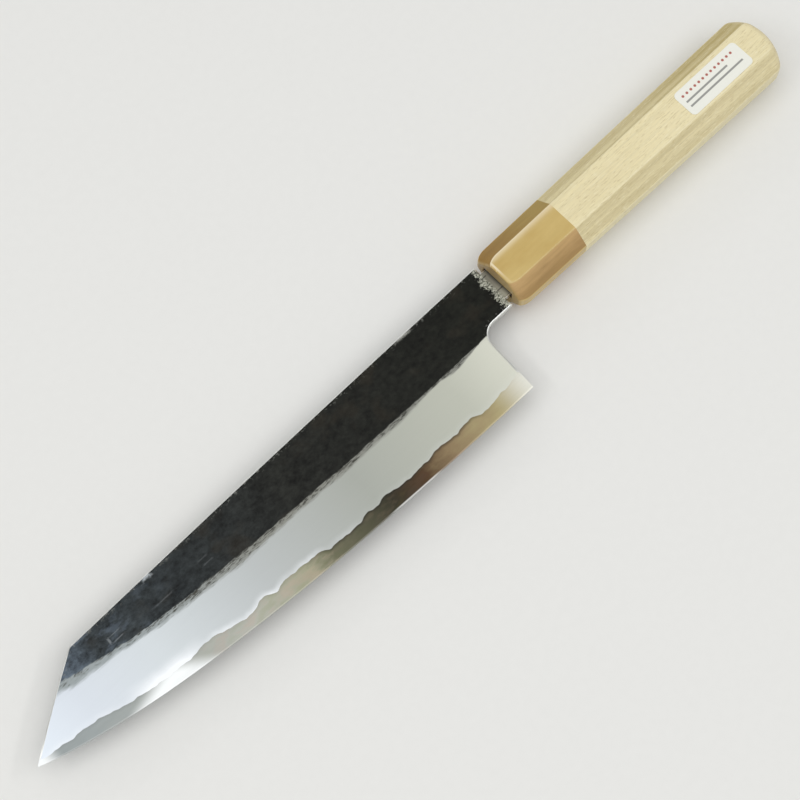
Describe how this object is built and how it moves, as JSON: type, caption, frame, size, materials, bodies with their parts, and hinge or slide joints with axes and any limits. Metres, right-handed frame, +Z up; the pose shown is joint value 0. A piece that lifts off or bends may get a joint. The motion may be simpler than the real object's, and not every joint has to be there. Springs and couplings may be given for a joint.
{
  "type": "kitchen knife",
  "caption": "Laminated kitchen knife with a clipped point, a wavy lamination line, a horn ferrule and a tapered octagonal wooden handle, for slicing and chopping food.",
  "frame": {"origin": "under the middle of the knife's box, on the surface it lies on", "axes": "+X along the knife from point to butt, +Y from edge to spine, +Z up, out of the side that carries the sticker"},
  "size_m": [0.363, 0.0486, 0.0196],
  "materials": {
    "core_steel": "satin ground",
    "soft_iron": "black as forged above the grind, hazy satin below it",
    "dark_filler": "matt",
    "resin": "set resin",
    "horn": "polished pale horn",
    "wood": "smooth, straight grained, soft gloss",
    "paper": "smooth white paper"
  },
  "bodies": {
    "root": {"core_steel": "core_steel", "cladding_face": "soft_iron", "cladding_back": "soft_iron", "mouth_seal": "dark_filler", "tang_bedding": "resin", "ferrule": "horn", "handle_body": "wood", "label": "paper"}
  },
  "joints": []
}
